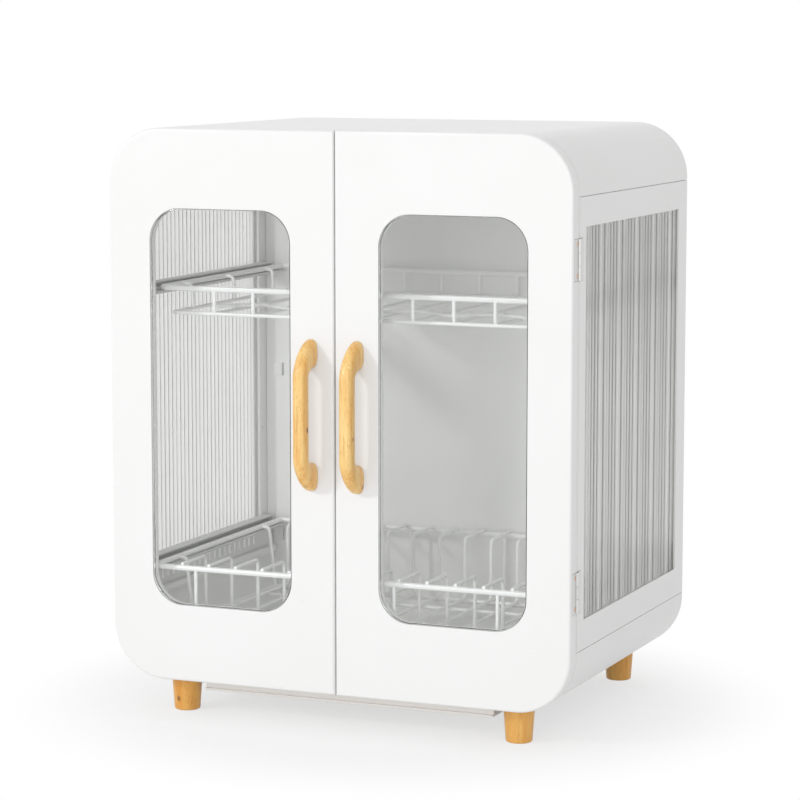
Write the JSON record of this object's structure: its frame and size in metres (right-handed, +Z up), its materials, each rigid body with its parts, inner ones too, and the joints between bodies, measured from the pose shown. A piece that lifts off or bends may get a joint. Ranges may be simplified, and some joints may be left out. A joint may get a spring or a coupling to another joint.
{
  "type": "dish storage cabinet",
  "caption": "Rounded table-top dish cabinet with hinged windowed doors, ribbed clear sides, wire racks on rails, a pull-out drip tray and wooden handles and feet.",
  "frame": {"origin": "centre of the bounding box's footprint, on the surface that the four feet stand on", "axes": "+Z up, -Y out of the front with the doors and handles, +X to the right seen from the front"},
  "size_m": [0.4238, 0.3292, 0.506],
  "materials": {
    "white_shell": "glossy white moulded ABS",
    "white_inner": "satin white moulded ABS",
    "ribbed_clear": "clear polystyrene with upright flutes",
    "clear_pane": "clear polished acrylic",
    "coated_wire": "steel wire with a thick white dipped coating",
    "rail_plastic": "satin light grey moulded plastic",
    "runner_plastic": "matt grey moulded plastic",
    "tray_plastic": "satin warm grey moulded plastic",
    "catch_plastic": "magnets in a grey plastic housing",
    "beech": "turned or routed light wood under a satin lacquer",
    "steel": "plain zinc-plated steel",
    "copper": "copper-coloured plated screws"
  },
  "bodies": {
    "cabinet": {"top_cover": "white_shell", "base_shell": "white_shell", "floor_pan": "white_inner", "back_panel": "white_inner", "right_side_frame": "white_shell", "left_side_frame": "white_shell", "right_ribbed_panel": "ribbed_clear", "left_ribbed_panel": "ribbed_clear", "door_catch": "catch_plastic", "right_lower_body_leaf": "steel", "left_lower_body_leaf": "steel", "right_upper_body_leaf": "steel", "left_upper_body_leaf": "steel", "right_lower_hinge_pin": "steel", "left_lower_hinge_pin": "steel", "right_upper_hinge_pin": "steel", "left_upper_hinge_pin": "steel", "right_upper_rail": "rail_plastic", "left_upper_rail": "rail_plastic", "right_lower_rail": "rail_plastic", "left_lower_rail": "rail_plastic", "upper_rack": "coated_wire", "lower_rack": "coated_wire", "front_left_foot": "beech", "front_right_foot": "beech", "rear_left_foot": "beech", "rear_right_foot": "beech", "front_left_foot_screw": "steel", "front_right_foot_screw": "steel", "rear_left_foot_screw": "steel", "rear_right_foot_screw": "steel", "right_tray_runner": "runner_plastic", "left_tray_runner": "runner_plastic"},
    "right_door": {"right_door_shell": "white_shell", "right_door_inner_frame": "white_inner", "right_window": "clear_pane", "right_strike_plate": "steel", "right_handle": "beech", "right_handle_screw_1": "steel", "right_handle_screw_2": "steel", "right_hinge_screw_1": "copper", "right_hinge_screw_2": "copper", "right_hinge_screw_3": "copper", "right_hinge_screw_4": "copper", "right_lower_door_leaf": "steel", "right_upper_door_leaf": "steel"},
    "left_door": {"left_door_shell": "white_shell", "left_door_inner_frame": "white_inner", "left_window": "clear_pane", "left_strike_plate": "steel", "left_handle": "beech", "left_handle_screw_1": "steel", "left_handle_screw_2": "steel", "left_hinge_screw_1": "copper", "left_hinge_screw_2": "copper", "left_hinge_screw_3": "copper", "left_hinge_screw_4": "copper", "left_lower_door_leaf": "steel", "left_upper_door_leaf": "steel"},
    "drip_tray": {"drip_tray": "tray_plastic"}
  },
  "joints": [
    {"name": "right_door_hinge", "type": "hinge", "parent": "cabinet", "child": "right_door", "pos_m": [0.21, -0.12205, 0.2685], "axis": [0, 0, 1], "range_deg": [0, 170]},
    {"name": "left_door_hinge", "type": "hinge", "parent": "cabinet", "child": "left_door", "pos_m": [-0.21, -0.12205, 0.2685], "axis": [0, 0, -1], "range_deg": [0, 170]},
    {"name": "drip_tray_slide", "type": "slide", "parent": "cabinet", "child": "drip_tray", "axis": [0, -1, 0], "range_m": [0, 0.2]}
  ]
}
